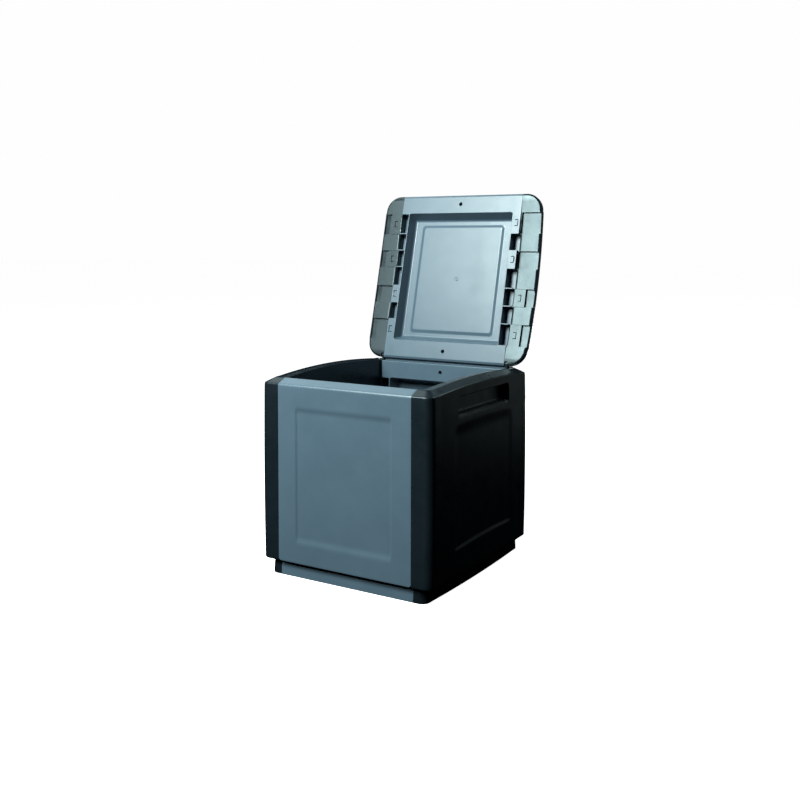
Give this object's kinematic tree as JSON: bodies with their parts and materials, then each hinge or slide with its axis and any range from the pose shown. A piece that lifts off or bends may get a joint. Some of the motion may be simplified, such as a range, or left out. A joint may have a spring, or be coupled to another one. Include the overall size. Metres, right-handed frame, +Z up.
{
  "type": "storage trunk",
  "caption": "Plastic storage trunk in grey and black with a hinged lid standing open, hand grips in its sides and a ribbed hollow lid.",
  "frame": {"origin": "centre of the base on the floor", "axes": "+X to the trunk's right, +Y to its back, +Z up; the lid is open at rest"},
  "size_m": [0.558, 0.6945, 1.0544],
  "materials": {
    "grey_plastic": "fine-grained moulded plastic, slate grey",
    "black_plastic": "fine-grained moulded plastic, near black",
    "pin_plastic": "smooth moulded pin"
  },
  "bodies": {
    "box": {"front_panel": "grey_plastic", "back_panel": "grey_plastic", "left_side_panel": "black_plastic", "right_side_panel": "black_plastic", "base_centre": "grey_plastic", "base_left_end": "black_plastic", "base_right_end": "black_plastic"},
    "lid": {"lid_centre_panel": "grey_plastic", "lid_left_end": "black_plastic", "lid_right_end": "black_plastic", "hinge_pin_left": "pin_plastic", "hinge_pin_right": "pin_plastic"}
  },
  "joints": [
    {"name": "lid_hinge", "type": "hinge", "parent": "box", "child": "lid", "pos_m": [0, 0.256, 0.5503], "axis": [1, 0, 0], "range_deg": [0, 104.25]}
  ]
}
